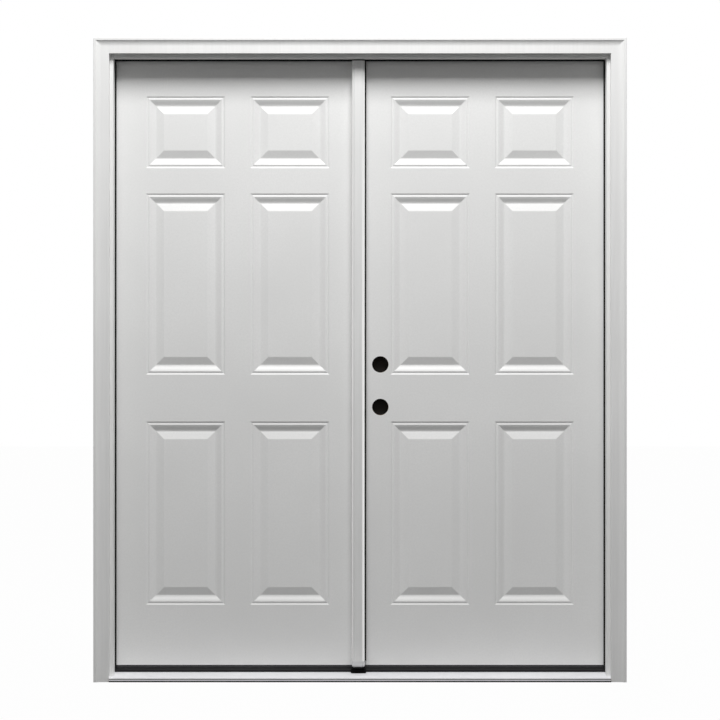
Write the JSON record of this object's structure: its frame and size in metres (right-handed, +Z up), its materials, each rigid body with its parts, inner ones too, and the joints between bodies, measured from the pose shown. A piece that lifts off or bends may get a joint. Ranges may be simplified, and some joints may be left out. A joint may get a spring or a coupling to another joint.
{
  "type": "prehung double front door",
  "caption": "Prehung double entry door: embossed raised-panel steel leaves hinged in a brickmoulded wood frame with sill, weatherstrip, astragal, flush bolts and lock bores.",
  "frame": {"origin": "on the underside of the sill, midway between the jambs, in the plane of the jambs' outside edges where the moulding meets the wall", "axes": "+X to the right seen from outside, +Y into the house, +Z up"},
  "size_m": [1.7336, 0.1617, 2.0955],
  "materials": {
    "frame_paint": "satin white exterior paint on finger-jointed pine",
    "moulding_paint": "satin white exterior paint on pine",
    "leaf_steel": "low-gloss white coil-coated steel",
    "leaf_timber": "planed softwood, unfinished",
    "leaf_foam": "rigid polyurethane foam",
    "astragal_paint": "satin white exterior paint on pine",
    "foot_plastic": "moulded light-grey plastic",
    "seal_foam": "black foam-filled weatherstrip",
    "seal_pad": "black closed-cell foam",
    "sweep_vinyl": "dark grey flexible vinyl",
    "sill_metal": "mill-finish extruded aluminium",
    "sill_substrate": "composite sill board",
    "cap_plastic": "matte black composite",
    "hinge_steel": "zinc-plated steel, satin",
    "bolt_steel": "zinc-plated steel",
    "screw_steel": "zinc-plated steel",
    "bushing_plastic": "black moulded plastic"
  },
  "bodies": {
    "frame": {"jamb_left": "frame_paint", "jamb_right": "frame_paint", "head_jamb": "frame_paint", "head_strike_plate": "bolt_steel", "brickmould_left": "moulding_paint", "brickmould_right": "moulding_paint", "brickmould_head": "moulding_paint", "weatherstrip_left": "seal_foam", "weatherstrip_right": "seal_foam", "weatherstrip_head": "seal_foam", "sill_base": "sill_substrate", "sill_tread": "sill_metal", "corner_seal_pads": "seal_pad", "sill_astragal_pad": "seal_pad", "frame_hinges_left": "hinge_steel", "frame_hinges_right": "hinge_steel", "hinge_pins_left": "hinge_steel", "hinge_pins_right": "hinge_steel"},
    "sill_cap_unit": {"sill_cap": "cap_plastic", "sill_cap_screws": "screw_steel", "sill_bolt_bushing": "bushing_plastic"},
    "passive_leaf": {"passive_outer_skin": "leaf_steel", "passive_inner_skin": "leaf_steel", "passive_hinge_stile": "leaf_timber", "passive_lock_stile": "leaf_timber", "passive_top_rail": "leaf_timber", "passive_bottom_rail": "leaf_timber", "passive_core": "leaf_foam", "passive_sweep": "sweep_vinyl", "passive_hinges": "hinge_steel", "astragal": "astragal_paint", "astragal_weatherstrip": "seal_foam", "astragal_foot": "foot_plastic", "astragal_foot_seal": "seal_pad", "latch_strike": "bolt_steel", "deadbolt_strike": "bolt_steel"},
    "active_leaf": {"active_outer_skin": "leaf_steel", "active_inner_skin": "leaf_steel", "active_hinge_stile": "leaf_timber", "active_lock_stile": "leaf_timber", "active_top_rail": "leaf_timber", "active_bottom_rail": "leaf_timber", "active_lock_block": "leaf_timber", "active_core": "leaf_foam", "active_sweep": "sweep_vinyl", "active_hinges": "hinge_steel"},
    "top_bolt": {"top_flush_bolt": "bolt_steel"},
    "bottom_bolt": {"bottom_flush_bolt": "bolt_steel"}
  },
  "joints": [
    {"name": "active_leaf_swing", "type": "hinge", "parent": "frame", "child": "active_leaf", "pos_m": [0.8144, 0.1231, 1], "axis": [0, 0, -1], "range_deg": [0, 170]},
    {"name": "passive_leaf_swing", "type": "hinge", "parent": "frame", "child": "passive_leaf", "pos_m": [-0.8144, 0.1231, 1], "axis": [0, 0, 1], "range_deg": [0, 144.5]},
    {"name": "top_flush_bolt_slide", "type": "slide", "parent": "passive_leaf", "child": "top_bolt", "axis": [0, 0, 1], "range_m": [0, 0.019]},
    {"name": "bottom_flush_bolt_slide", "type": "slide", "parent": "passive_leaf", "child": "bottom_bolt", "axis": [0, 0, -1], "range_m": [0, 0.019]},
    {"name": "sill_cap_height", "type": "slide", "parent": "frame", "child": "sill_cap_unit", "axis": [0, 0, -1], "range_m": [0, 0.005]}
  ],
  "couplings": [
    {"joint": "passive_leaf_swing", "follows": "active_leaf_swing", "ratio": 0.85}
  ]
}
